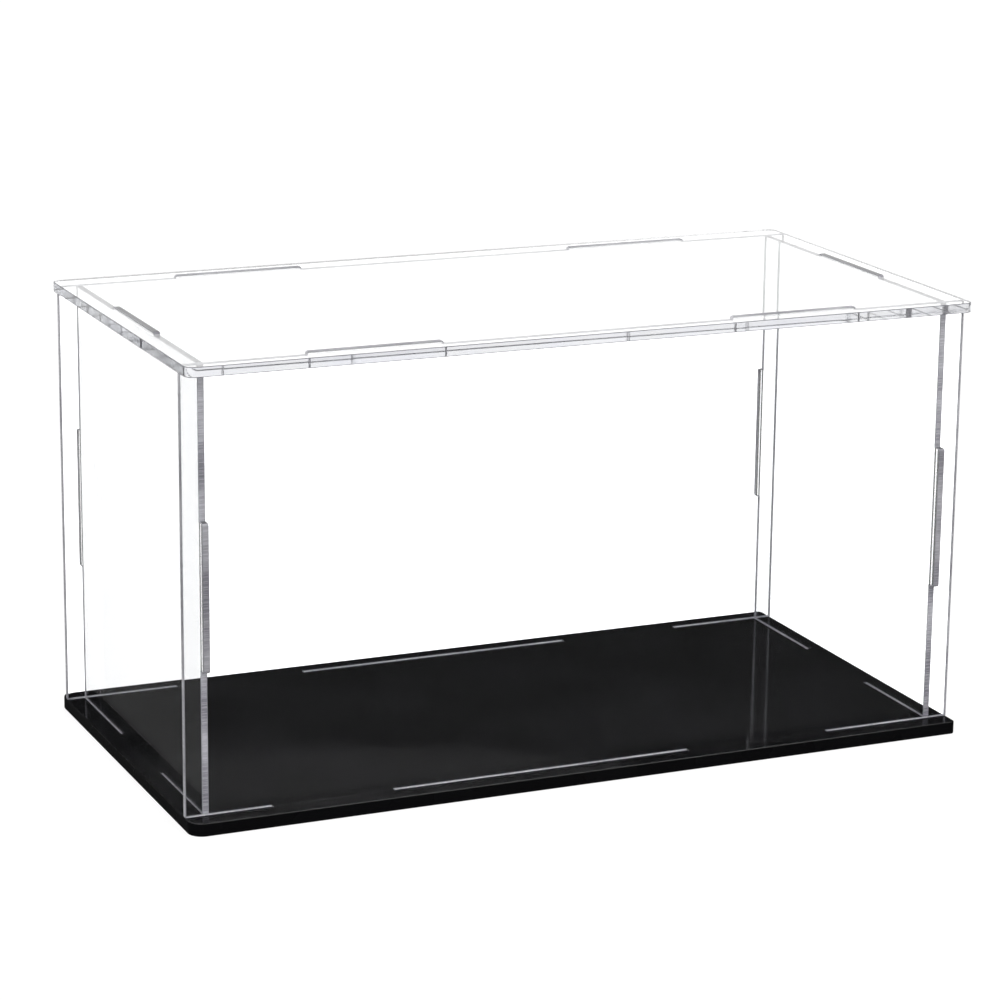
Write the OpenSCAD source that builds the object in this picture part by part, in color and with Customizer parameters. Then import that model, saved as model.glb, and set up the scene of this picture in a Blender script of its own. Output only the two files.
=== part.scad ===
// Display case: four clear walls and a clear lid that plug together with laser-cut
// tabs and slots, standing on a black base plate.
// Millimetres, +Z up. The origin is the middle of the underside of the base plate,
// +X runs along the case to the right and +Y to the back.

/* [Case] */
// Length of the base plate, the lid and the front and back walls
case_l = 250; // [200:1:420]
// Depth over the outer faces of the front and back walls
body_w = 118; // [90:1:220]
// Height of the walls between the base plate and the lid
wall_h = 130; // [80:1:300]

/* [Sheets] */
// Thickness of the four wall sheets
wall_t = 2; // [1.5:0.5:4]
// Thickness of the lid sheet
lid_t = 3; // [2:0.5:5]
// Thickness of the base sheet
base_t = 4; // [3:0.5:8]

/* [Edges] */
// How far the base plate and the lid reach past the front and back walls
plate_edge = 6; // [5:0.5:12]
// From the end of the front and back walls to the outer face of a side wall
side_inset = 5.5; // [3:0.5:12]
// Corner radius of the lid
lid_corner_r = 3; // [1:0.5:5]
// Radius of the base plate's two left corners
base_left_r = 4.5; // [1:0.5:5]
// Radius of the base plate's two right corners, which are nearly square
base_right_r = 1.5; // [1:0.5:5]

/* [Tabs of the front and back walls] */
// Length of each tab that goes up into the lid
long_tab_l = 41.5; // [15:0.5:50]
// From the end of the wall to the outer end of those tabs
long_tab_end = 37.5; // [16:0.5:45]
// Length of the left foot of the front wall
left_foot_l = 38; // [15:1:45]
// From the left end of the front wall to its left foot
left_foot_end = 26.5; // [16:0.5:40]
// Length of the right foot of the front wall
right_foot_l = 48; // [15:1:50]
// From the right end of the front wall to its right foot
right_foot_end = 42; // [16:0.5:45]

/* [Tabs of the side walls] */
// Length of the tab that goes up into the lid and of the foot in the base plate
side_tab_l = 39; // [15:1:60]
// Height of the tab that goes through the front and back walls
joint_tab_h = 44; // [15:1:60]

/* [Fit] */
// How far the tabs stand proud of the lid
lid_tab_proud = 0.4; // [0:0.1:1.5]
// How far the side walls' tabs stand proud of the front and back walls
joint_tab_proud = 1.5; // [0:0.1:2.5]
// How far the feet stop short of the underside of the base plate
foot_short = 0.2; // [0.1:0.1:1]
// Clearance between a tab and each side of its slot
slot_gap = 0.1; // [0.05:0.05:0.3]
// Lead-in radius on the outer corners of every tab
tab_r = 0.8; // [0.3:0.1:1]

/* [Hidden] */
$fn = 48;

plate_w = body_w + 2 * plate_edge;
wall_z = base_t;
lid_z = wall_z + wall_h;

// Middle planes of the walls
long_y = body_w / 2 - wall_t / 2;
side_x = case_l / 2 - side_inset - wall_t / 2;
// The side walls stand between the front and back walls
side_l = body_w - 2 * wall_t;

// Reach of the tabs past the edge that they stand on
lid_tab_reach = lid_t + lid_tab_proud;
joint_tab_reach = wall_t + joint_tab_proud;
foot_reach = base_t - foot_short;

// Each edge's tabs as [middle, length]
long_tab_x = case_l / 2 - long_tab_end - long_tab_l / 2;
long_tabs = [[-long_tab_x, long_tab_l], [long_tab_x, long_tab_l]];
// The front feet stand off centre, so the cover goes on one way round
front_feet = [
    [-case_l / 2 + left_foot_end + left_foot_l / 2, left_foot_l],
    [case_l / 2 - right_foot_end - right_foot_l / 2, right_foot_l]
];
side_tabs = [[0, side_tab_l]];
joint_tabs = [[0, joint_tab_h]];

// ---- Outlines ----

// Tab on the line y = 0, standing up by reach, with rounded outer corners
module tab_outline(length, reach) {
    root = wall_t;
    translate([-length / 2, -root]) square([length, root + reach - tab_r]);
    translate([-length / 2 + tab_r, -root]) square([length - 2 * tab_r, root + reach]);
    for (side = [-1, 1])
        translate([side * (length / 2 - tab_r), reach - tab_r]) circle(r = tab_r);
}

// Row of tabs on the line y = 0
module tab_row(tabs, reach) {
    for (tab = tabs)
        translate([tab[0], 0]) tab_outline(tab[1], reach);
}

// Row of slots along the line y = 0, each with room for its tab
module slot_row(tabs) {
    for (tab = tabs)
        translate([tab[0], 0])
            square([tab[1] + 2 * slot_gap, wall_t + 2 * slot_gap], center = true);
}

// Half of a plate on the side of +X, with both its corners rounded
module half_plate_outline(length, width, r) {
    translate([-r, -width / 2]) square([length / 2, width]);
    translate([-r, -width / 2 + r]) square([length / 2 + r, width - 2 * r]);
    for (y = [-1, 1])
        translate([length / 2 - r, y * (width / 2 - r)]) circle(r = r);
}

// Rectangle with rounded corners, in the middle of the origin
module plate_outline(length, width, left_r, right_r) {
    half_plate_outline(length, width, right_r);
    mirror([1, 0]) half_plate_outline(length, width, left_r);
}

// Slots for all four walls in a plate that lies flat
module wall_slots(front_tabs, back_tabs) {
    translate([0, -long_y]) slot_row(front_tabs);
    translate([0, long_y]) slot_row(back_tabs);
    for (side = [-1, 1])
        translate([side * side_x, 0]) rotate(90) slot_row(side_tabs);
}

// Front or back wall in its own plane, with its lower edge on y = 0
module long_wall_outline(feet) {
    difference() {
        union() {
            translate([-case_l / 2, 0]) square([case_l, wall_h]);
            translate([0, wall_h]) tab_row(long_tabs, lid_tab_reach);
            mirror([0, 1]) tab_row(feet, foot_reach);
        }
        for (side = [-1, 1])
            translate([side * side_x, wall_h / 2]) rotate(90) slot_row(joint_tabs);
    }
}

// Side wall in its own plane, with its lower edge on y = 0
module side_wall_outline() {
    translate([-side_l / 2, 0]) square([side_l, wall_h]);
    translate([0, wall_h]) tab_row(side_tabs, lid_tab_reach);
    mirror([0, 1]) tab_row(side_tabs, foot_reach);
    for (turn = [-90, 90])
        translate([-sign(turn) * side_l / 2, wall_h / 2])
            rotate(turn) tab_row(joint_tabs, joint_tab_reach);
}

// ---- Sheets ----

// Stands an outline up as a wall that faces along Y
module stand_long(y) {
    translate([0, y + wall_t / 2, wall_z])
        rotate([90, 0, 0]) linear_extrude(wall_t) children();
}

// Stands an outline up as a wall that faces along X
module stand_side(x) {
    translate([x - wall_t / 2, 0, wall_z])
        rotate([90, 0, 90]) linear_extrude(wall_t) children();
}

module base_plate() {
    color([0.02, 0.02, 0.022])
        linear_extrude(base_t) difference() {
            plate_outline(case_l, plate_w, base_left_r, base_right_r);
            wall_slots(front_feet, long_tabs);
        }
}

module front_panel() {
    color([0.85, 0.92, 0.95, 0.35])
        stand_long(-long_y) long_wall_outline(front_feet);
}

module back_panel() {
    color([0.85, 0.92, 0.95, 0.35])
        stand_long(long_y) long_wall_outline(long_tabs);
}

module left_panel() {
    color([0.8, 0.9, 0.95, 0.35])
        stand_side(-side_x) side_wall_outline();
}

module right_panel() {
    color([0.8, 0.9, 0.95, 0.35])
        stand_side(side_x) side_wall_outline();
}

module lid_panel() {
    color([0.88, 0.94, 0.97, 0.35])
        translate([0, 0, lid_z]) linear_extrude(lid_t) difference() {
            plate_outline(case_l, plate_w, lid_corner_r, lid_corner_r);
            wall_slots(long_tabs, long_tabs);
        }
}

base_plate();
front_panel();
back_panel();
left_panel();
right_panel();
lid_panel();
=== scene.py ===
"""Dresses the plug-together display case: clear sheets with cut edges on a black base.

Lengths are millimetres in the classes and metres in Blender, +Z up, in the case's own
frame: the origin is the middle of the underside of the base plate.
"""

import logging
import math
from dataclasses import dataclass, field
from enum import Enum
from typing import Any

import bpy
from mathutils import Matrix, Vector


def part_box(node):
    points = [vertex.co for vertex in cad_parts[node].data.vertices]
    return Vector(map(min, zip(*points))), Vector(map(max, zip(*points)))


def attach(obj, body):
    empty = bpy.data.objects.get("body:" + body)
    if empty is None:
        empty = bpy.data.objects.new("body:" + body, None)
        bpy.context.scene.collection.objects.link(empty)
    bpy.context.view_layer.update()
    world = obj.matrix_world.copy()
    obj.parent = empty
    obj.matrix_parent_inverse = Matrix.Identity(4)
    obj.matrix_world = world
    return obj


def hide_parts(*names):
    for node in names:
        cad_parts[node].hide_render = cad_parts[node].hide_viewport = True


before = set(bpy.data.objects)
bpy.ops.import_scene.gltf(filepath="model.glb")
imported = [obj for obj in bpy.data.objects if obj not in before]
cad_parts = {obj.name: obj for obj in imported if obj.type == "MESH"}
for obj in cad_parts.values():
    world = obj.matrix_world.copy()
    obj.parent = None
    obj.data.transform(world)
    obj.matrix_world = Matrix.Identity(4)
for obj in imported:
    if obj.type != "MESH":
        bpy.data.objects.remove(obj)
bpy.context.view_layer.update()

LOG = logging.getLogger("display_case")
MM = 0.001
QUARTER_TURN = math.pi / 2

Point = tuple[float, float]
Triple = tuple[float, float, float]
Span = tuple[float, float]
Color = tuple[float, float, float]


class Facing(Enum):
    """The axis that a sheet's broad faces look along."""

    X = "x"
    Y = "y"
    Z = "z"


class Face(Enum):
    """The kinds of surface on one sheet, as its material slots."""

    BROAD = 0
    CUT = 1
    ARRIS = 2
    # Upward cut edges of the walls, whose darker colour is painted shade.
    CROWN = 3


# ---------------------------------------------------------------- node trees


@dataclass(frozen=True)
class Grain:
    """A noise texture: its repeats in a metre, its finer layers and how strong they are."""

    pitch: float
    detail: float
    roughness: float = 0.5


class Nodes:
    """Adds and joins the nodes of one tree."""

    def __init__(self, tree: bpy.types.NodeTree) -> None:
        """Takes the tree to fill and empties it."""
        self.tree = tree
        tree.nodes.clear()

    def add(
        self, kind: str, inputs: dict[str | int, Any] | None = None, **settings: Any
    ) -> bpy.types.Node:
        """Adds one node.

        Args:
            kind: Blender's name of the node type.
            inputs: what each input gets: a socket to join to it, or a plain value.
            **settings: the node's own properties.

        Returns:
            The new node.
        """
        node = self.tree.nodes.new(kind)
        for name, value in settings.items():
            setattr(node, name, value)
        for name, value in (inputs or {}).items():
            if isinstance(value, bpy.types.NodeSocket):
                self.tree.links.new(value, node.inputs[name])
            else:
                node.inputs[name].default_value = value
        return node

    def join(self, *parts: bpy.types.NodeSocket) -> bpy.types.NodeSocket:
        """Adds a Join Geometry node.

        Args:
            *parts: the geometries to join.

        Returns:
            The socket with all of them.
        """
        node = self.add("GeometryNodeJoinGeometry")
        for part in parts:
            self.tree.links.new(part, node.inputs[0])
        return node.outputs[0]

    def math(self, operation: str, *values: Any) -> bpy.types.NodeSocket:
        """Adds a Math node on two or three values or sockets and returns its result."""
        inputs = dict(enumerate(values))
        return self.add("ShaderNodeMath", inputs, operation=operation).outputs[0]

    def ramp(
        self, value: bpy.types.NodeSocket, span: Span, low: float, high: float
    ) -> bpy.types.NodeSocket:
        """Maps a value from a span to another one and holds it at both ends.

        Args:
            value: the socket to map.
            span: the value's two ends.
            low: the result at the span's start and below.
            high: the result at the span's end and above.

        Returns:
            The socket with the result.
        """
        inputs = {
            "Value": value,
            "From Min": span[0],
            "From Max": span[1],
            "To Min": low,
            "To Max": high,
        }
        return self.add("ShaderNodeMapRange", inputs).outputs["Result"]

    def place(self) -> bpy.types.NodeSocket:
        """Returns the piece's own coordinates."""
        return self.add("ShaderNodeTexCoord").outputs["Object"]

    def stretched(self, place: bpy.types.NodeSocket, scale: Triple) -> bpy.types.NodeSocket:
        """Scales coordinates along each axis and returns them."""
        inputs = {"Vector": place, "Scale": scale}
        return self.add("ShaderNodeMapping", inputs).outputs[0]

    def noise(self, place: bpy.types.NodeSocket, grain: Grain) -> bpy.types.NodeSocket:
        """Adds a noise texture.

        Args:
            place: the coordinates that it reads.
            grain: its sizes.

        Returns:
            The socket with its value.
        """
        inputs = {
            "Vector": place,
            "Scale": grain.pitch,
            "Detail": grain.detail,
            "Roughness": grain.roughness,
        }
        return self.add("ShaderNodeTexNoise", inputs).outputs["Fac"]

    def bump(
        self, height: bpy.types.NodeSocket, strength: float, depth: float
    ) -> bpy.types.NodeSocket:
        """Adds a bump of a depth in millimetres and returns its normal."""
        inputs = {"Height": height, "Strength": strength, "Distance": depth * MM}
        return self.add("ShaderNodeBump", inputs).outputs[0]

    def blend(
        self, factor: bpy.types.NodeSocket, first: Color, second: Color
    ) -> bpy.types.NodeSocket:
        """Mixes two colours and returns the result."""
        inputs = {"Factor": factor, "A": (*first, 1.0), "B": (*second, 1.0)}
        return self.add("ShaderNodeMix", inputs, data_type="RGBA").outputs["Result"]

    def mix(self, factor: Any, first: bpy.types.Node, second: bpy.types.Node) -> bpy.types.Node:
        """Adds a Mix Shader node on two shaders and returns it."""
        inputs = {0: factor, 1: first.outputs[0], 2: second.outputs[0]}
        return self.add("ShaderNodeMixShader", inputs)

    def surface(
        self, shader: bpy.types.Node, inside: bpy.types.NodeSocket | None = None
    ) -> None:
        """Ends a material's tree.

        Args:
            shader: the surface's shader.
            inside: the volume's shader, for a solid that light goes into.
        """
        inputs = {"Surface": shader.outputs[0]}
        if inside is not None:
            inputs["Volume"] = inside
        self.add("ShaderNodeOutputMaterial", inputs)


def new_material(name: str) -> tuple[bpy.types.Material, Nodes]:
    """Makes an empty node material.

    Args:
        name: the material's name.

    Returns:
        The material, and the helper that fills its tree.
    """
    material = bpy.data.materials.new(name)
    material.use_nodes = True
    return material, Nodes(material.node_tree)


# ---------------------------------------------------------------- finishes


@dataclass(frozen=True)
class ClearStock:
    """The clear sheet itself, under every finish on it."""

    ior: float = 1.49
    absorbed: Color = (0.52, 0.60, 0.72)
    absorption: float = 0.5

    def inside(self, nodes: Nodes) -> bpy.types.NodeSocket:
        """Adds the faint absorption inside the sheet and returns it."""
        inputs = {"Color": (*self.absorbed, 1.0), "Density": self.absorption}
        return nodes.add("ShaderNodeVolumeAbsorption", inputs).outputs[0]


@dataclass(frozen=True)
class ClearAcrylic:
    """Polished broad face of a clear sheet, with faint haze and hairline scratches."""

    name: str = "clear_acrylic"
    stock: ClearStock = ClearStock()
    tint: Color = (0.995, 0.997, 1.0)
    shadow_tint: Color = (0.94, 0.95, 0.95)
    haze: float = 0.02
    haze_span: Span = (0.55, 0.8)
    smear: Grain = Grain(22.0, 4.0, 0.6)
    scratch: Grain = Grain(260.0, 2.0)
    scratch_span: Span = (0.72, 0.8)
    scratch_stretch: float = 0.12
    scratch_strength: float = 0.02
    scratch_depth: float = 0.02

    def build(self) -> bpy.types.Material:
        """Makes the material, whose sheets dim light instead of blocking it.

        Returns:
            The material.
        """
        material, nodes = new_material(self.name)
        place = nodes.place()
        smear = nodes.noise(place, self.smear)
        along = nodes.stretched(place, (1.0, 1.0, self.scratch_stretch))
        scratch = nodes.noise(along, self.scratch)
        lines = nodes.ramp(scratch, self.scratch_span, 0.0, 1.0)
        shader = nodes.add(
            "ShaderNodeBsdfPrincipled",
            {
                "Base Color": (*self.tint, 1.0),
                "Roughness": nodes.ramp(smear, self.haze_span, 0.0, self.haze),
                "IOR": self.stock.ior,
                "Transmission Weight": 1.0,
                "Normal": nodes.bump(lines, self.scratch_strength, self.scratch_depth),
            },
        )
        shadow = nodes.add("ShaderNodeLightPath").outputs["Is Shadow Ray"]
        through = nodes.add("ShaderNodeBsdfTransparent", {"Color": (*self.shadow_tint, 1.0)})
        nodes.surface(nodes.mix(shadow, shader, through), self.stock.inside(nodes))
        return material


@dataclass(frozen=True)
class CutEdge:
    """Laser-cut rim of a clear sheet: milky, with fine lines through the thickness."""

    name: str
    stock: ClearStock = ClearStock()
    color: Color = (0.58, 0.57, 0.61)
    shade: Color = (0.31, 0.30, 0.34)
    shade_span: Span = (0.35, 0.65)
    clear: float = 0.2
    mottle: float = 0.12
    mottle_span: Span = (0.3, 0.7)
    clouds: Grain = Grain(70.0, 3.0)
    roughness: float = 0.25
    rough_low: float = 0.7
    rough_high: float = 1.4
    lines: Grain = Grain(2600.0, 3.0)
    line_stretch: float = 0.02
    line_strength: float = 0.15
    line_depth: float = 0.05

    def build(self, across: Facing) -> bpy.types.Material:
        """Makes the material for a sheet of one facing.

        Args:
            across: the axis through the sheet, along which the cutting lines run.

        Returns:
            The material.
        """
        material, nodes = new_material(f"{self.name}_{across.value}")
        place = nodes.place()
        scale = tuple(self.line_stretch if axis is across else 1.0 for axis in Facing)
        lines = nodes.noise(nodes.stretched(place, scale), self.lines)
        clouds = nodes.noise(place, self.clouds)
        rough_low, rough_high = self.rough_low * self.roughness, self.rough_high * self.roughness
        least, most = self.clear - self.mottle, self.clear + self.mottle
        shading = nodes.ramp(clouds, self.shade_span, 0.0, 1.0)
        shader = nodes.add(
            "ShaderNodeBsdfPrincipled",
            {
                "Base Color": nodes.blend(shading, self.color, self.shade),
                "Roughness": nodes.ramp(lines, self.mottle_span, rough_low, rough_high),
                "IOR": self.stock.ior,
                "Transmission Weight": nodes.ramp(clouds, self.mottle_span, least, most),
                "Normal": nodes.bump(lines, self.line_strength, self.line_depth),
            },
        )
        nodes.surface(shader, self.stock.inside(nodes))
        return material


@dataclass(frozen=True)
class BlackAcrylic:
    """Black gloss sheet with a faint film of dust and hairline scratches."""

    name: str = "black_acrylic"
    color: Color = (0.004, 0.004, 0.0045)
    dust: Color = (0.011, 0.011, 0.0125)
    dust_span: Span = (0.4, 0.75)
    dust_share: float = 0.5
    film: Grain = Grain(30.0, 5.0)
    roughness: float = 0.04
    rough_span: Span = (0.35, 0.7)
    rough_film: float = 0.06
    specks: Grain = Grain(1800.0, 1.0)
    speck_strength: float = 0.03
    speck_depth: float = 0.02
    shine: float = 0.5
    ior: float = 1.49

    def build(self) -> bpy.types.Material:
        """Makes the material.

        Returns:
            The material.
        """
        material, nodes = new_material(self.name)
        place = nodes.place()
        film = nodes.noise(place, self.film)
        specks = nodes.noise(place, self.specks)
        dusty = nodes.ramp(film, self.dust_span, 0.0, self.dust_share)
        smooth, filmed = self.roughness, self.roughness + self.rough_film
        shader = nodes.add(
            "ShaderNodeBsdfPrincipled",
            {
                "Base Color": nodes.blend(dusty, self.color, self.dust),
                "Roughness": nodes.ramp(film, self.rough_span, smooth, filmed),
                "IOR": self.ior,
                "Specular IOR Level": self.shine,
                "Normal": nodes.bump(specks, self.speck_strength, self.speck_depth),
            },
        )
        nodes.surface(shader)
        return material


# ---------------------------------------------------------------- sizes


def extent(node: str) -> tuple[Vector, Vector]:
    """Returns a CAD node's lowest and highest corner in millimetres."""
    low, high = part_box(node)
    return Vector(low) / MM, Vector(high) / MM


@dataclass(frozen=True)
class CaseSizes:
    """Sizes that all the sheets share, in millimetres."""

    case_l: float
    plate_w: float
    wall_h: float
    wall_t: float
    lid_t: float
    base_t: float
    long_y: float
    side_x: float
    side_l: float
    lid_tab_reach: float
    foot_reach: float
    joint_tab_reach: float
    long_tab_l: float = 41.5
    long_tab_end: float = 37.5
    left_foot_l: float = 38.0
    left_foot_end: float = 26.5
    right_foot_l: float = 48.0
    right_foot_end: float = 42.0
    side_tab_l: float = 39.0
    joint_tab_h: float = 44.0
    lid_corner_r: float = 3.0
    base_left_r: float = 4.5
    base_right_r: float = 1.5
    tab_r: float = 0.8
    slot_gap: float = 0.1
    seat_gap: float = 0.02

    @classmethod
    def from_frame(cls) -> "CaseSizes":
        """Reads the sheets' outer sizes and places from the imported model.

        Returns:
            The sizes.
        """
        base_low, base_high = extent("base_plate")
        lid_low, lid_high = extent("lid_panel")
        front_low, front_high = extent("front_panel")
        side_low, side_high = extent("right_panel")
        return cls(
            case_l=base_high.x - base_low.x,
            plate_w=base_high.y - base_low.y,
            wall_h=lid_low.z - base_high.z,
            wall_t=front_high.y - front_low.y,
            lid_t=lid_high.z - lid_low.z,
            base_t=base_high.z - base_low.z,
            long_y=-(front_low.y + front_high.y) / 2,
            side_x=(side_low.x + side_high.x) / 2,
            side_l=-2 * front_high.y,
            lid_tab_reach=front_high.z - lid_low.z,
            foot_reach=base_high.z - front_low.z,
            joint_tab_reach=side_high.y + front_high.y,
        )

    @property
    def long_tabs(self) -> list["Tab"]:
        """The lid tabs of a long wall, which are also the back wall's feet."""
        middle = self.case_l / 2 - self.long_tab_end - self.long_tab_l / 2
        return [Tab(-middle, self.long_tab_l), Tab(middle, self.long_tab_l)]

    @property
    def front_feet(self) -> list["Tab"]:
        """The front wall's feet, which stand off centre."""
        half = self.case_l / 2
        return [
            Tab(-half + self.left_foot_end + self.left_foot_l / 2, self.left_foot_l),
            Tab(half - self.right_foot_end - self.right_foot_l / 2, self.right_foot_l),
        ]

    @property
    def side_tabs(self) -> list["Tab"]:
        """A side wall's tab in the lid, and its foot."""
        return [Tab(0.0, self.side_tab_l)]

    @property
    def joint_tabs(self) -> list["Tab"]:
        """A side wall's tab through a long wall."""
        return [Tab(0.0, self.joint_tab_h)]


@dataclass(frozen=True)
class Tab:
    """A tab on an edge: where its middle is from the edge's middle, and its length."""

    middle: float
    length: float


@dataclass(frozen=True)
class Slot:
    """A slot in a sheet: its middle, its sizes along x and y."""

    x: float
    y: float
    size_x: float
    size_y: float


@dataclass(frozen=True)
class Corner:
    """A corner of an outline and the radius that rounds it."""

    x: float
    y: float
    r: float = 0.0


@dataclass(frozen=True)
class Edge:
    """A straight edge of an outline, walked with the sheet on its left."""

    start: Point
    end: Point
    tabs: tuple[Tab, ...] = ()
    reach: float = 0.0

    def corners(self, tab_r: float) -> list[Corner]:
        """Walks the edge from its start, round each of its tabs.

        Args:
            tab_r: the radius that rounds the tabs' outer corners.

        Returns:
            The edge's start and the corners of its tabs, in walking order.
        """
        run = Vector(self.end) - Vector(self.start)
        along = run.normalized()
        outward = Vector((along.y, -along.x))
        middle = Vector(self.start) + run / 2
        points = [Corner(*self.start)]
        for tab in sorted(self.tabs, key=lambda item: item.middle * self.sense(along)):
            centre = middle + along * tab.middle * self.sense(along)
            for side, far in ((-1, 0), (-1, 1), (1, 1), (1, 0)):
                place = centre + along * side * tab.length / 2
                place += outward * far * self.reach
                points.append(Corner(place.x, place.y, tab_r * far))
        return points

    @staticmethod
    def sense(along: Vector) -> int:
        """Tells whether the walk runs with the sheet's own axis, 1, or against it, -1."""
        return 1 if along.x + along.y > 0 else -1


# ---------------------------------------------------------------- cutting


class SheetCutter:
    """Cuts a sheet from its outline with a Geometry Nodes tree.

    Known fault: the slots are laid out but never cut, so the tabs pass through whole sheets.
    plan() takes its handle on IS_SLOT before it adds the other attributes, which makes that
    handle stale, so the marks are lost and the tree finds no slot points.
    """

    ROUND_STEPS = 10
    MERGE_REACH = 0.001
    GEOMETRY = "Geometry"
    THICKNESS = "Thickness"
    BROAD = "Broad Face"
    CUT = "Cut Edge"
    IS_SLOT = "is_slot"
    CORNER_R = "corner_r"
    SLOT_SIZE = "slot_size"

    def __init__(self) -> None:
        """Builds the tree."""
        self.tree = bpy.data.node_groups.new("cut_sheet", "GeometryNodeTree")
        nodes = Nodes(self.tree)
        for name, way, kind in (
            (self.GEOMETRY, "INPUT", "NodeSocketGeometry"),
            (self.THICKNESS, "INPUT", "NodeSocketFloat"),
            (self.BROAD, "INPUT", "NodeSocketMaterial"),
            (self.CUT, "INPUT", "NodeSocketMaterial"),
            (self.GEOMETRY, "OUTPUT", "NodeSocketGeometry"),
        ):
            self.tree.interface.new_socket(name, in_out=way, socket_type=kind)
        given = nodes.add("NodeGroupInput").outputs
        flat = self.flat(nodes, given[self.GEOMETRY])
        sheet, side = self.thick(nodes, flat, given[self.THICKNESS])
        whole = nodes.add("GeometryNodeRealizeInstances", {"Geometry": sheet})
        broad = nodes.add(
            "GeometryNodeSetMaterial",
            {"Geometry": whole.outputs[0], "Material": given[self.BROAD]},
        )
        rim = nodes.add(
            "GeometryNodeSetMaterial",
            {"Geometry": broad.outputs[0], "Selection": side, "Material": given[self.CUT]},
        )
        nodes.add("NodeGroupOutput", {self.GEOMETRY: rim.outputs[0]})

    def flat(self, nodes: Nodes, plan: bpy.types.NodeSocket) -> bpy.types.NodeSocket:
        """Rounds the outline's corners, sets a slot on each marked point and fills the rest.

        Args:
            nodes: the tree's helper.
            plan: the outline's loop and the slots' points.

        Returns:
            The flat sheet.
        """
        split = nodes.add(
            "GeometryNodeSeparateGeometry",
            {"Geometry": plan, "Selection": self.named(nodes, self.IS_SLOT, "BOOLEAN")},
        )
        loop = nodes.add("GeometryNodeMeshToCurve", {"Mesh": split.outputs["Inverted"]})
        rounded = nodes.add(
            "GeometryNodeFilletCurve",
            {
                "Curve": loop.outputs[0],
                "Count": self.ROUND_STEPS,
                "Radius": self.named(nodes, self.CORNER_R, "FLOAT"),
            },
            mode="POLY",
        )
        points = nodes.add("GeometryNodeMeshToPoints", {"Mesh": split.outputs["Selection"]})
        unit = nodes.add(
            "GeometryNodeCurvePrimitiveQuadrilateral", {"Width": 1.0, "Height": 1.0}
        )
        slots = nodes.add(
            "GeometryNodeInstanceOnPoints",
            {
                "Points": points.outputs[0],
                "Instance": unit.outputs[0],
                "Scale": self.named(nodes, self.SLOT_SIZE, "FLOAT_VECTOR"),
            },
        )
        loops = nodes.join(rounded.outputs[0], slots.outputs[0])
        realized = nodes.add("GeometryNodeRealizeInstances", {"Geometry": loops})
        filled = nodes.add(
            "GeometryNodeFillCurve", {"Curve": realized.outputs[0]}, mode="NGONS"
        )
        return filled.outputs[0]

    def thick(
        self, nodes: Nodes, flat: bpy.types.NodeSocket, thickness: bpy.types.NodeSocket
    ) -> tuple[bpy.types.NodeSocket, bpy.types.NodeSocket]:
        """Gives the flat sheet its thickness.

        Args:
            nodes: the tree's helper.
            flat: the flat sheet.
            thickness: how far it is raised.

        Returns:
            The closed sheet, and the selection of its cut edges.
        """
        lift = nodes.add("ShaderNodeCombineXYZ", {"Z": thickness})
        raised = nodes.add(
            "GeometryNodeExtrudeMesh",
            {
                "Mesh": flat,
                "Offset": lift.outputs[0],
                "Offset Scale": 1.0,
                "Individual": False,
            },
        )
        under = nodes.add("GeometryNodeFlipFaces", {"Mesh": flat})
        merged = nodes.add(
            "GeometryNodeMergeByDistance",
            {
                "Geometry": nodes.join(raised.outputs["Mesh"], under.outputs[0]),
                "Distance": self.MERGE_REACH * MM,
            },
        )
        return merged.outputs[0], raised.outputs["Side"]

    @staticmethod
    def named(nodes: Nodes, name: str, kind: str) -> bpy.types.NodeSocket:
        """Returns a socket that reads a named attribute of the sheet's points."""
        inputs = {"Name": name}
        return nodes.add(
            "GeometryNodeInputNamedAttribute", inputs, data_type=kind
        ).outputs["Attribute"]

    def plan(self, name: str, corners: list[Corner], slots: list[Slot]) -> bpy.types.Mesh:
        """Draws a sheet's outline as a loop, and each slot as a point, whose mark gets lost.

        Args:
            name: the mesh's name.
            corners: the outline, anticlockwise.
            slots: the slots inside it.

        Returns:
            The plan, in metres.
        """
        plan = bpy.data.meshes.new(name)
        points = [(corner.x * MM, corner.y * MM, 0.0) for corner in corners]
        points += [(slot.x * MM, slot.y * MM, 0.0) for slot in slots]
        count = len(corners)
        edges = [(index, (index + 1) % count) for index in range(count)]
        plan.from_pydata(points, edges, [])
        marks = plan.attributes.new(self.IS_SLOT, "BOOLEAN", "POINT")
        radii = plan.attributes.new(self.CORNER_R, "FLOAT", "POINT")
        sizes = plan.attributes.new(self.SLOT_SIZE, "FLOAT_VECTOR", "POINT")
        for index, corner in enumerate(corners):
            radii.data[index].value = corner.r * MM
        for index, slot in enumerate(slots, start=count):
            marks.data[index].value = True
            sizes.data[index].vector = (slot.size_x * MM, slot.size_y * MM, 1.0)
        return plan

    def cut(
        self,
        name: str,
        corners: list[Corner],
        slots: list[Slot],
        thickness: float,
        broad: bpy.types.Material,
        rim: bpy.types.Material,
    ) -> bpy.types.Mesh:
        """Cuts one sheet that lies flat on z = 0.

        Args:
            name: the mesh's name.
            corners: the outline, anticlockwise.
            slots: the slots inside it.
            thickness: the sheet's thickness in millimetres.
            broad: the material of its broad faces.
            rim: the material of its cut edges.

        Returns:
            The closed mesh, in metres.
        """
        plan = self.plan(f"{name}_plan", corners, slots)
        cutter = bpy.data.objects.new(f"{name}_plan", plan)
        bpy.context.collection.objects.link(cutter)
        modifier = cutter.modifiers.new("cut", "NODES")
        modifier.node_group = self.tree
        values = {self.THICKNESS: thickness * MM, self.BROAD: broad, self.CUT: rim}
        for item in self.tree.interface.items_tree:
            if item.in_out == "INPUT" and item.name in values:
                modifier[item.identifier] = values[item.name]
        mesh = baked(cutter)
        bpy.data.objects.remove(cutter)
        mesh.name = name
        return mesh


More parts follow.
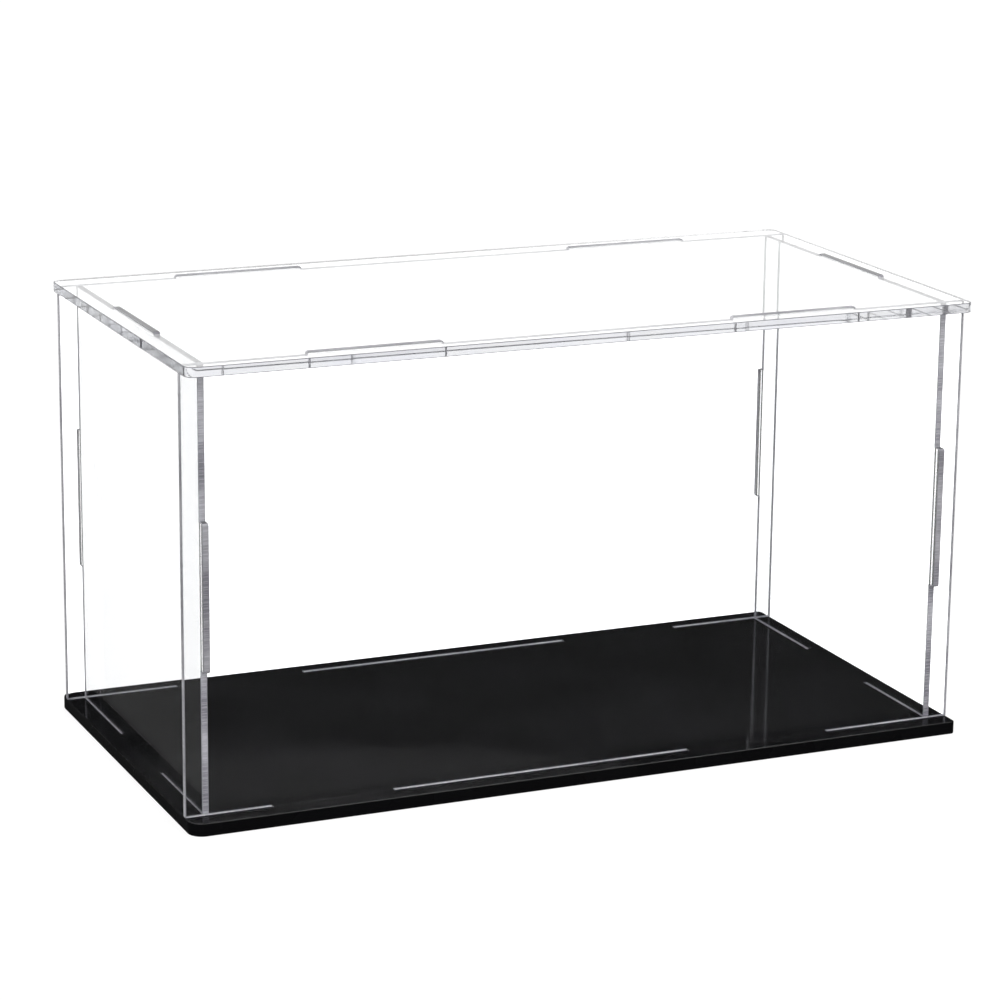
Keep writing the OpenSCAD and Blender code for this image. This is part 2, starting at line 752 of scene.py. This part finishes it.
def baked(thing: bpy.types.Object) -> bpy.types.Mesh:
    """Applies an object's modifiers.

    Args:
        thing: the object, which stays as it is.

    Returns:
        A plain mesh of its evaluated shape.
    """
    bpy.context.view_layer.update()
    graph = bpy.context.evaluated_depsgraph_get()
    return bpy.data.meshes.new_from_object(
        thing.evaluated_get(graph), preserve_all_data_layers=True, depsgraph=graph
    )


# ---------------------------------------------------------------- the case


@dataclass
class Sheet:
    """One flat sheet of the case, cut, eased along its corners and put in its place."""

    name: str
    node: str
    body: str
    slot: str
    facing: Facing
    sizes: CaseSizes
    thickness: float
    arris: float = 0.22
    materials: list[bpy.types.Material] = field(default_factory=list)

    ARRIS_STEPS = 2
    ARRIS_ANGLE = 40.0
    CROWN_RISE = 0.9

    def corners(self) -> list[Corner]:
        """Returns the outline, anticlockwise."""
        raise NotImplementedError

    def slots(self) -> list[Slot]:
        """Returns the slots."""
        return []

    def place(self) -> Matrix:
        """Returns the move that takes the flat sheet to its place, in metres."""
        raise NotImplementedError

    def kind_of(self, polygon: bpy.types.MeshPolygon) -> Face:
        """Tells which kind of surface a face of the eased sheet is.

        Args:
            polygon: the face, with the slot that cutting and easing gave it.

        Returns:
            Its kind: an upward cut edge of a wall is its crown, whose darker colour is painted
                shade.
        """
        kind = Face(polygon.material_index)
        if kind is Face.CUT and self.facing is not Facing.Z and polygon.normal.z > self.CROWN_RISE:
            return Face.CROWN
        return kind

    def edged(self, edges: list[Edge]) -> list[Corner]:
        """Joins the corners of the edges into one outline."""
        return [corner for edge in edges for corner in edge.corners(self.sizes.tab_r)]

    def blank(self, cutter: SheetCutter) -> bpy.types.Object:
        """Cuts the sheet and puts it in its place, with sharp corners.

        Args:
            cutter: the tool that makes the flat sheet.

        Returns:
            The sharp sheet, with its materials in the order of Face.
        """
        broad, rim = self.materials[Face.BROAD.value], self.materials[Face.CUT.value]
        mesh = cutter.cut(
            self.name, self.corners(), self.slots(), self.thickness, broad, rim
        )
        mesh.transform(self.place())
        order = {
            index: self.materials.index(item)
            for index, item in enumerate(mesh.materials)
            if item is not None
        }
        places = [order[polygon.material_index] for polygon in mesh.polygons]
        mesh.materials.clear()
        for material in self.materials:
            mesh.materials.append(material)
        mesh.polygons.foreach_set("material_index", places)
        blank = bpy.data.objects.new(f"{self.name}_blank", mesh)
        bpy.context.collection.objects.link(blank)
        return blank

    def eased(self, blank: bpy.types.Object) -> bpy.types.Mesh:
        """Eases the sharp corners and sorts the faces by kind.

        Args:
            blank: the sharp sheet, which is used up.

        Returns:
            The finished mesh.
        """
        ease = blank.modifiers.new("arris", "BEVEL")
        ease.width = self.arris * MM
        ease.segments = self.ARRIS_STEPS
        ease.limit_method = "ANGLE"
        ease.angle_limit = math.radians(self.ARRIS_ANGLE)
        ease.material = Face.ARRIS.value
        ease.harden_normals = True
        finished = baked(blank)
        finished.name = self.name
        for polygon in finished.polygons:
            polygon.material_index = self.kind_of(polygon).value
        bpy.data.objects.remove(blank)
        return finished

    def build(self, cutter: SheetCutter) -> bpy.types.Object:
        """Makes the sheet, hangs it on its body's empty and hides the CAD node that it stands for.

        Args:
            cutter: the tool that makes the flat sheet.

        Returns:
            The finished piece.
        """
        piece = bpy.data.objects.new(self.name, self.eased(self.blank(cutter)))
        bpy.context.collection.objects.link(piece)
        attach(piece, self.body)
        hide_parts(self.node)
        return piece


@dataclass
class LongWall(Sheet):
    """Front or back wall, with two lid tabs and two feet, and two slots laid out."""

    y: float = 0.0
    feet: list[Tab] = field(default_factory=list)

    def corners(self) -> list[Corner]:
        """Draws the outline.

        Returns:
            Its corners, anticlockwise.
        """
        size = self.sizes
        half, low, high = size.case_l / 2, size.seat_gap, size.wall_h - size.seat_gap
        tabs, feet = tuple(size.long_tabs), tuple(self.feet)
        return self.edged(
            [
                Edge((-half, low), (half, low), feet, size.foot_reach + low),
                Edge((half, low), (half, high)),
                Edge((half, high), (-half, high), tabs, size.lid_tab_reach + low),
                Edge((-half, high), (-half, low)),
            ]
        )

    def slots(self) -> list[Slot]:
        """Places the slots that take the side walls' tabs.

        Returns:
            The two upright slots.
        """
        size = self.sizes
        wide, tall = size.wall_t + 2 * size.slot_gap, size.joint_tab_h + 2 * size.slot_gap
        middle = size.wall_h / 2
        return [Slot(side * size.side_x, middle, wide, tall) for side in (-1, 1)]

    def place(self) -> Matrix:
        """Stands the sheet up along X.

        Returns:
            The move, in metres.
        """
        back = (self.y + self.thickness / 2) * MM
        stand = Matrix.Rotation(QUARTER_TURN, 4, "X")
        return Matrix.Translation((0, back, self.sizes.base_t * MM)) @ stand


@dataclass
class SideWall(Sheet):
    """Side wall, with a lid tab, a foot and a tab through each long wall."""

    x: float = 0.0

    def corners(self) -> list[Corner]:
        """Draws the outline.

        Returns:
            Its corners, anticlockwise.
        """
        size = self.sizes
        gap = size.seat_gap
        half, low, high = size.side_l / 2 - gap, gap, size.wall_h - gap
        tabs, joints = tuple(size.side_tabs), tuple(size.joint_tabs)
        return self.edged(
            [
                Edge((-half, low), (half, low), tabs, size.foot_reach + gap),
                Edge((half, low), (half, high), joints, size.joint_tab_reach + gap),
                Edge((half, high), (-half, high), tabs, size.lid_tab_reach + gap),
                Edge((-half, high), (-half, low), joints, size.joint_tab_reach + gap),
            ]
        )

    def place(self) -> Matrix:
        """Stands the sheet up along Y.

        Returns:
            The move, in metres.
        """
        left = (self.x - self.thickness / 2) * MM
        stand = Matrix.Rotation(QUARTER_TURN, 4, "X")
        turn = Matrix.Rotation(QUARTER_TURN, 4, "Z")
        return Matrix.Translation((left, 0, self.sizes.base_t * MM)) @ turn @ stand


@dataclass
class Plate(Sheet):
    """Base plate or lid: a rounded rectangle, with a slot laid out for each tab or foot."""

    z: float = 0.0
    left_r: float = 1.0
    right_r: float = 1.0
    front_tabs: list[Tab] = field(default_factory=list)

    def corners(self) -> list[Corner]:
        """Draws the outline.

        Returns:
            Its corners, anticlockwise.
        """
        half_x, half_y = self.sizes.case_l / 2, self.sizes.plate_w / 2
        return [
            Corner(x * half_x, y * half_y, self.left_r if x < 0 else self.right_r)
            for x, y in ((-1, -1), (1, -1), (1, 1), (-1, 1))
        ]

    def slots(self) -> list[Slot]:
        """Places the slots for the four walls.

        Returns:
            The six slots.
        """
        size = self.sizes
        wide = size.wall_t + 2 * size.slot_gap
        rows = ((-size.long_y, self.front_tabs), (size.long_y, size.long_tabs))
        slots = [
            Slot(tab.middle, y, tab.length + 2 * size.slot_gap, wide)
            for y, tabs in rows
            for tab in tabs
        ]
        slots += [
            Slot(side * size.side_x, tab.middle, wide, tab.length + 2 * size.slot_gap)
            for side in (-1, 1)
            for tab in size.side_tabs
        ]
        return slots

    def place(self) -> Matrix:
        """Returns the move that lifts the plate to its height."""
        return Matrix.Translation((0, 0, self.z * MM))


@dataclass
class Cover:
    """The clear cover: four walls and the lid, with a material for each kind of edge; the arris
    and crown colours are painted shade, the long walls' lighter cut edges painted light.
    """

    sizes: CaseSizes
    broad: ClearAcrylic = ClearAcrylic()
    cut: CutEdge = CutEdge("cut_edge")
    # Painted light: the long walls' cut edges are a lighter copy of the cut edge colour.
    end: CutEdge = CutEdge("end_edge_painted_light", color=(0.84, 0.83, 0.87), shade=(0.52, 0.51, 0.56))
    # Painted shade: the walls' eased arrises are a darker grey than their cut edges.
    arris: CutEdge = CutEdge(
        "arris", color=(0.42, 0.42, 0.45), shade=(0.26, 0.26, 0.29), clear=0.12, roughness=0.3
    )
    # Painted shade: the side walls' upward cut edges are nearly black.
    crown: CutEdge = CutEdge(
        "crown_edge_painted_shade",
        color=(0.12, 0.12, 0.13),
        shade=(0.05, 0.05, 0.06),
        clear=0.1,
        mottle=0.08,
        roughness=0.15,
    )
    # Painted shade: the long walls' upward cut edges are darker than their other cut edges.
    ledge: CutEdge = CutEdge("ledge_edge_painted_shade", color=(0.40, 0.40, 0.43), shade=(0.24, 0.24, 0.27))
    lid_rim: CutEdge = CutEdge(
        "polished_rim",
        color=(1.0, 1.0, 1.0),
        shade=(0.93, 0.93, 0.98),
        clear=0.97,
        mottle=0.03,
        roughness=0.02,
    )
    # Painted shade: the lid's eased arrises are a dark grey.
    lid_arris_painted_shade: CutEdge = CutEdge(
        "lid_arris_painted_shade",
        color=(0.20, 0.20, 0.23),
        shade=(0.12, 0.12, 0.14),
        clear=0.3,
        roughness=0.15,
    )
    lid_arris_painted_shade_w: float = 0.2

    def finish(self, facing: Facing, broad: bpy.types.Material) -> list[bpy.types.Material]:
        """Makes the materials of a clear sheet, with the painted shade and light of its edge
        colours.

        Args:
            facing: the axis through the sheet.
            broad: the material of its broad faces.

        Returns:
            The materials, in the order of Face.
        """
        edges = {
            Facing.X: (self.cut, self.arris, self.crown),
            Facing.Y: (self.end, self.arris, self.ledge),
            Facing.Z: (self.lid_rim, self.lid_arris_painted_shade),
        }[facing]
        return [broad, *(edge.build(facing) for edge in edges)]

    def long_walls(self, broad: bpy.types.Material) -> list[Sheet]:
        """Describes the front and back walls.

        Args:
            broad: the material of their broad faces.

        Returns:
            The two walls.
        """
        size = self.sizes
        materials = self.finish(Facing.Y, broad)
        return [
            LongWall(
                name=f"{side}_wall",
                node=f"{side}_panel",
                body="cover",
                slot="clear_acrylic",
                facing=Facing.Y,
                sizes=size,
                thickness=size.wall_t,
                materials=materials,
                y=y,
                feet=feet,
            )
            for side, y, feet in (
                ("front", -size.long_y, size.front_feet),
                ("back", size.long_y, size.long_tabs),
            )
        ]

    def side_walls(self, broad: bpy.types.Material) -> list[Sheet]:
        """Describes the left and right walls.

        Args:
            broad: the material of their broad faces.

        Returns:
            The two walls.
        """
        size = self.sizes
        materials = self.finish(Facing.X, broad)
        return [
            SideWall(
                name=f"{side}_wall",
                node=f"{side}_panel",
                body="cover",
                slot="clear_acrylic",
                facing=Facing.X,
                sizes=size,
                thickness=size.wall_t,
                materials=materials,
                x=x,
            )
            for side, x in (("left", -size.side_x), ("right", size.side_x))
        ]

    def lid(self, broad: bpy.types.Material) -> Sheet:
        """Describes the lid.

        Args:
            broad: the material of its broad faces.

        Returns:
            The lid.
        """
        size = self.sizes
        return Plate(
            name="lid",
            node="lid_panel",
            body="lid",
            slot="clear_acrylic",
            facing=Facing.Z,
            sizes=size,
            thickness=size.lid_t,
            arris=self.lid_arris_painted_shade_w,
            materials=self.finish(Facing.Z, broad),
            z=size.base_t + size.wall_h,
            left_r=size.lid_corner_r,
            right_r=size.lid_corner_r,
            front_tabs=size.long_tabs,
        )

    def sheets(self) -> list[Sheet]:
        """Returns the five clear sheets, whose broad faces share one material."""
        broad = self.broad.build()
        return [*self.long_walls(broad), *self.side_walls(broad), self.lid(broad)]


@dataclass
class Base:
    """The black base plate, with a gloss top and a plainer rim."""

    sizes: CaseSizes
    gloss: BlackAcrylic = BlackAcrylic()
    rim: BlackAcrylic = BlackAcrylic(
        "black_rim", dust=(0.006, 0.006, 0.007), roughness=0.25, shine=0.1
    )
    arris_w: float = 0.3

    def sheet(self) -> Sheet:
        """Describes the base plate.

        Returns:
            The plate.
        """
        size = self.sizes
        gloss = self.gloss.build()
        return Plate(
            name="base",
            node="base_plate",
            body="base",
            slot="black_acrylic",
            facing=Facing.Z,
            sizes=size,
            thickness=size.base_t,
            arris=self.arris_w,
            materials=[gloss, self.rim.build(), gloss],
            z=0.0,
            left_r=size.base_left_r,
            right_r=size.base_right_r,
            front_tabs=size.front_feet,
        )


# ---------------------------------------------------------------- studio


@dataclass(frozen=True)
class Lamp:
    """A far, soft lamp: where it shines from, how strong it is, how wide it looks."""

    name: str
    towards: Triple
    strength: float
    width: float


@dataclass
class Studio:
    """White set with even soft light, a black ring and a floor dim near the case that paint dark
    reflections on the gloss base, and the camera.
    """

    lens: float = 125.24
    film_width: float = 36.0
    camera_place: Triple = (-0.41925, -0.95075, 0.34886)
    azimuth: float = 23.681
    elevation: float = 14.957
    roll: float = 0.621
    floor_size: float = 12.0
    floor_drop: float = 0.02
    floor_color: float = 0.2
    floor_glow: float = 0.85
    # Painted reflection: how bright the floor is near the case when mirrored once.
    floor_painted_reflection: float = 0.055
    floor_far: float = 1.0
    dim_span: Span = (0.66, 0.70)
    pane_gain: float = 1.8
    sky: float = 0.6
    ring_inner: float = 0.25
    ring_outer: float = 3.0
    ring_height: float = 0.14
    # Painted reflection: the ring's dark light, seen only in mirrored rays.
    ring_light: float = 0.012
    ring_steps: int = 64
    bounces: int = 64
    lamps: tuple[Lamp, ...] = (
        Lamp("key", (-0.5, -0.6, 0.75), 1.3, 40.0),
        Lamp("fill", (0.8, -0.5, 0.6), 0.7, 60.0),
    )

    ONCE = 1.0
    HALF_STEP = 0.5

    def build(self) -> None:
        """Sets up everything round the case."""
        self.camera()
        self.floor()
        self.ring()
        self.hang_lamps()
        self.surroundings()
        scene = bpy.context.scene
        scene.view_settings.view_transform = "Standard"
        scene.cycles.max_bounces = self.bounces
        scene.cycles.transmission_bounces = self.bounces
        scene.cycles.glossy_bounces = self.bounces
        scene.cycles.transparent_max_bounces = self.bounces

    def camera(self) -> None:
        """Places the camera."""
        lens = bpy.data.cameras.new("camera")
        lens.lens = self.lens
        lens.sensor_width = self.film_width
        camera = bpy.data.objects.new("camera", lens)
        turn = Matrix.Rotation(-math.radians(self.azimuth), 4, "Z")
        tilt = Matrix.Rotation(math.radians(90 - self.elevation), 4, "X")
        roll = Matrix.Rotation(math.radians(self.roll), 4, "Z")
        camera.matrix_world = Matrix.Translation(self.camera_place) @ turn @ tilt @ roll
        bpy.context.collection.objects.link(camera)
        bpy.context.scene.camera = camera

    def seen(self, nodes: Nodes) -> bpy.types.NodeSocket:
        """Tells how white the background is for the ray that sees it.

        Args:
            nodes: the helper of the tree that asks.

        Returns:
            1, more straight through a pane, or 0 where it only lights.
        """
        path = nodes.add("ShaderNodeLightPath").outputs
        plain = nodes.math("MAXIMUM", path["Is Camera Ray"], path["Is Glossy Ray"])
        turned = nodes.math("ADD", path["Glossy Depth"], path["Diffuse Depth"])
        gain = nodes.ramp(turned, (0.0, 1.0), self.pane_gain, 1.0)
        panes = nodes.math("MULTIPLY", path["Is Transmission Ray"], gain)
        return nodes.math("MAXIMUM", plain, panes)

    @staticmethod
    def set_piece(
        name: str,
        points: list[Triple],
        faces: list[tuple[int, ...]],
        material: bpy.types.Material,
    ) -> None:
        """Adds a flat piece of the set, which isn't part of the case.

        Args:
            name: its name.
            points: its corners, in metres.
            faces: its faces.
            material: its material.
        """
        mesh = bpy.data.meshes.new(name)
        mesh.from_pydata(points, [], faces)
        mesh.materials.append(material)
        piece = bpy.data.objects.new(name, mesh)
        bpy.context.collection.objects.link(piece)

    def floor_paper_with_painted_reflection(self) -> bpy.types.Material:
        """Makes the floor's pale paper, with a painted dark reflection: it is dim near the case
        when mirrored once.

        Returns:
            The material.
        """
        material, nodes = new_material("floor_paper_with_painted_reflection")
        grey = (*[self.floor_color] * 3, 1.0)
        shade = nodes.add("ShaderNodeBsdfDiffuse", {"Color": grey})
        glow = nodes.math("MULTIPLY", self.seen(nodes), self.floor_glow)
        light = nodes.add("ShaderNodeEmission", {"Strength": glow})
        plain = nodes.add(
            "ShaderNodeAddShader", {0: shade.outputs[0], 1: light.outputs[0]}
        )
        away = nodes.add("ShaderNodeVectorMath", {0: nodes.place()}, operation="LENGTH")
        # Painted reflection: rays mirrored once see the floor dim near the case.
        mirrored = nodes.ramp(
            away.outputs["Value"], self.dim_span, self.floor_painted_reflection, self.floor_far
        )
        dim = nodes.add("ShaderNodeEmission", {"Strength": mirrored})
        depth = nodes.add("ShaderNodeLightPath").outputs["Glossy Depth"]
        once = nodes.math("COMPARE", depth, self.ONCE, self.HALF_STEP)
        nodes.surface(nodes.mix(once, plain, dim))
        return material

    def floor(self) -> None:
        """Lays the floor just under the case."""
        half, drop = self.floor_size / 2, -self.floor_drop * MM
        corners = ((-1, -1), (1, -1), (1, 1), (-1, 1))
        points = [(x * half, y * half, drop) for x, y in corners]
        self.set_piece("floor", points, [(0, 1, 2, 3)], self.floor_paper_with_painted_reflection())

    def ring_painted_reflection(self) -> bpy.types.Material:
        """Makes the ring's black card, a painted dark reflection, which shows only from below and
        only when mirrored.

        Returns:
            The material.
        """
        material, nodes = new_material("ring_painted_reflection")
        path = nodes.add("ShaderNodeLightPath").outputs
        mirrored = nodes.math("GREATER_THAN", path["Glossy Depth"], self.HALF_STEP)
        behind = nodes.add("ShaderNodeNewGeometry").outputs["Backfacing"]
        hidden = nodes.math("MAXIMUM", behind, path["Is Shadow Ray"])
        shown = nodes.math("MULTIPLY", mirrored, nodes.math("SUBTRACT", 1.0, hidden))
        clear = nodes.add("ShaderNodeBsdfTransparent")
        dark = nodes.add("ShaderNodeEmission", {"Strength": self.ring_light})
        nodes.surface(nodes.mix(shown, clear, dark))
        return material

    def ring(self) -> None:
        """Hangs a black ring, open over the case, as a painted dark reflection for the base's top
        to mirror.
        """
        count = self.ring_steps
        turns = [2 * math.pi * step / count for step in range(count)]
        points = [
            (r * math.cos(turn), r * math.sin(turn), self.ring_height)
            for r in (self.ring_inner, self.ring_outer)
            for turn in turns
        ]
        faces = []
        for step in range(count):
            after = (step + 1) % count
            faces.append((step, after, count + after, count + step))
        self.set_piece("ring", points, faces, self.ring_painted_reflection())

    def hang_lamps(self) -> None:
        """Hangs the soft lamps, far away, so that they light the floor evenly."""
        for lamp in self.lamps:
            data = bpy.data.lights.new(lamp.name, "SUN")
            data.energy = lamp.strength
            data.angle = math.radians(lamp.width)
            sun = bpy.data.objects.new(lamp.name, data)
            sun.rotation_euler = Vector(lamp.towards).to_track_quat("Z", "Y").to_euler()
            bpy.context.collection.objects.link(sun)

    def surroundings(self) -> None:
        """Makes the world white where it is seen and softer where it only lights."""
        world = bpy.data.worlds.new("studio")
        bpy.context.scene.world = world
        world.use_nodes = True
        nodes = Nodes(world.node_tree)
        strength = nodes.math("MAXIMUM", self.seen(nodes), self.sky)
        light = nodes.add(
            "ShaderNodeBackground", {"Color": (1.0, 1.0, 1.0, 1.0), "Strength": strength}
        )
        nodes.add("ShaderNodeOutputWorld", {"Surface": light.outputs[0]})


def main() -> None:
    """Builds the case in its studio and reports each piece."""
    logging.basicConfig(level=logging.INFO, format="%(message)s")
    sizes = CaseSizes.from_frame()
    cutter = SheetCutter()
    Studio().build()
    for sheet in [Base(sizes).sheet(), *Cover(sizes).sheets()]:
        piece = sheet.build(cutter)
        LOG.info("%s: %d faces on body %s", piece.name, len(piece.data.polygons), sheet.body)


if __name__ == "__main__":
    main()
